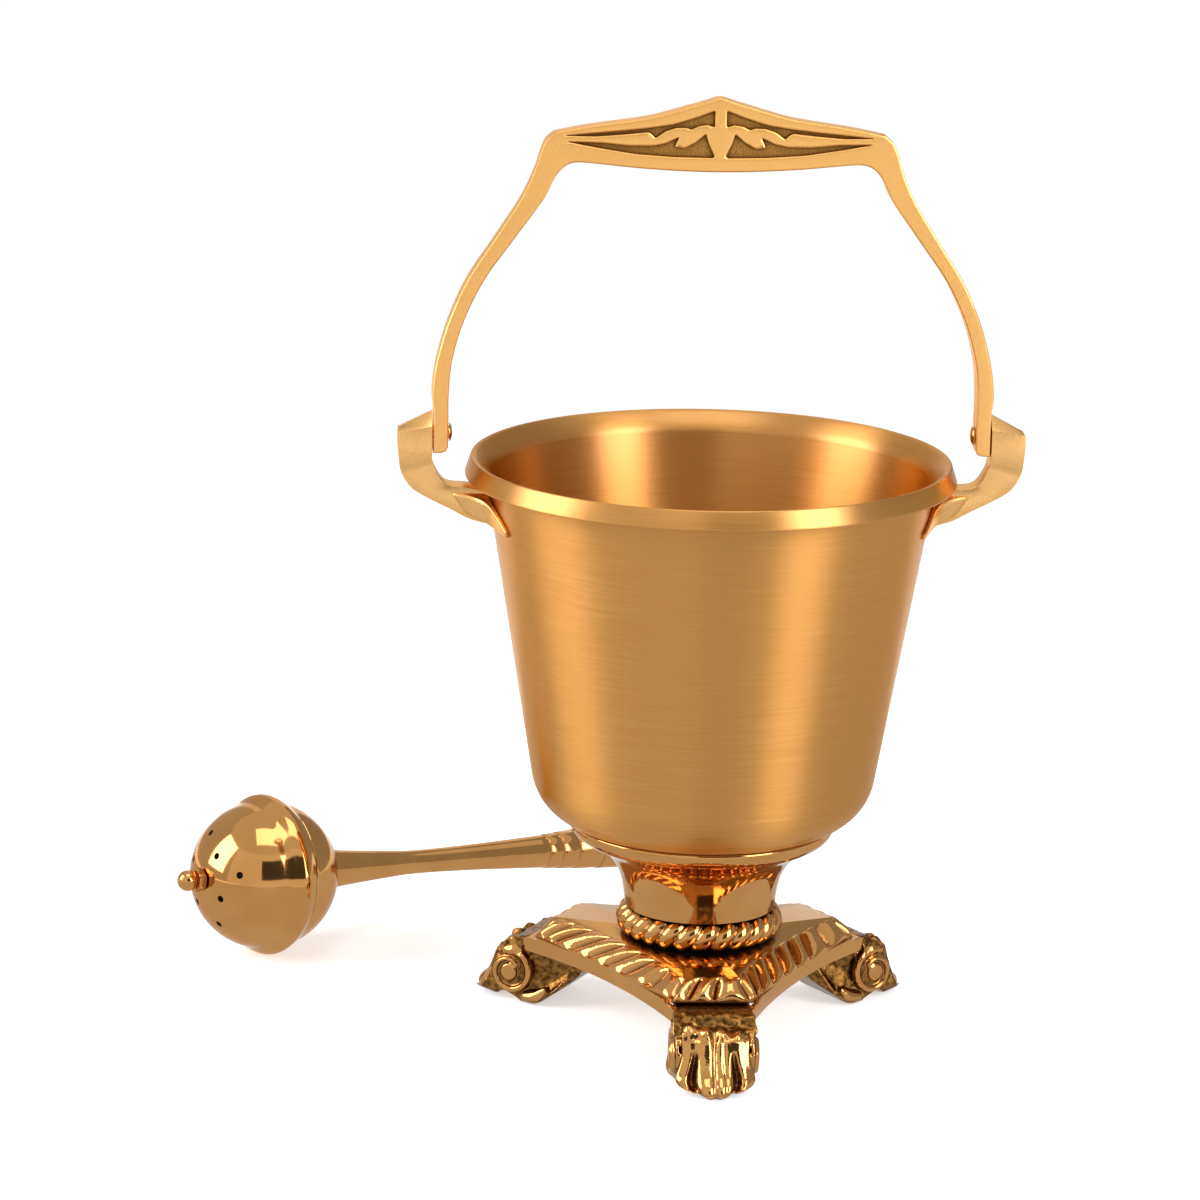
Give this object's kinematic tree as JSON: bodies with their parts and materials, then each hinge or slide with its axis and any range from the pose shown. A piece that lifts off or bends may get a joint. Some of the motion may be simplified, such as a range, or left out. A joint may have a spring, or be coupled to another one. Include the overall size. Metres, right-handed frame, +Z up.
{
  "type": "holy water bucket",
  "caption": "Brass holy water bucket on a three-footed pedestal with a swinging bail handle, and its ball-headed sprinkler lying beside it.",
  "frame": {"origin": "middle of the set's footprint on the table: the bucket stands to the right and front of it, the sprinkler lies to the left and back", "axes": "+Z up; the bail's pivots lie along X; one foot points towards -Y, the bucket's front"},
  "size_m": [0.2612, 0.2582, 0.2937],
  "materials": {
    "satin_brass": "satin-brushed, lacquered",
    "polished_brass": "mirror-polished, lacquered",
    "hidden_steel": "plain turned steel",
    "sponge": "open-cell sponge"
  },
  "bodies": {
    "bucket": {"bowl": "satin_brass", "rim_ring": "satin_brass", "pedestal_cup": "polished_brass", "rope_ring": "polished_brass", "plinth": "polished_brass", "foot_front": "polished_brass", "foot_left": "polished_brass", "foot_right": "polished_brass", "foot_screw_front": "hidden_steel", "foot_screw_left": "hidden_steel", "foot_screw_right": "hidden_steel", "bowl_boss": "satin_brass", "tie_rod": "hidden_steel", "base_washer": "hidden_steel", "base_nut": "hidden_steel", "lug_left": "polished_brass", "pivot_pin_left": "polished_brass", "lug_right": "polished_brass", "pivot_pin_right": "polished_brass"},
    "bail": {"bail": "satin_brass"},
    "sprinkler": {"sprinkler_shell": "polished_brass", "sprinkler_sponge": "sponge", "sprinkler_stud": "hidden_steel", "sprinkler_handle": "polished_brass", "sprinkler_grip": "polished_brass", "sprinkler_pommel": "polished_brass"},
    "sprinkler_cap": {"sprinkler_cap": "polished_brass", "sprinkler_finial": "polished_brass"}
  },
  "joints": [
    {"name": "bail_swing", "type": "hinge", "parent": "bucket", "child": "bail", "pos_m": [0.03396, -0.05237, 0.18955], "axis": [1, 0, 0], "range_deg": [-125, 125]},
    {"name": "sprinkler_lift", "type": "slide", "parent": "bucket", "child": "sprinkler", "axis": [0, 0, 1], "range_m": [0, 0.25]},
    {"name": "cap_unscrew", "type": "slide", "parent": "sprinkler", "child": "sprinkler_cap", "axis": [-0.8351, -0.5423, 0.0924], "range_m": [0, 0.025]}
  ]
}
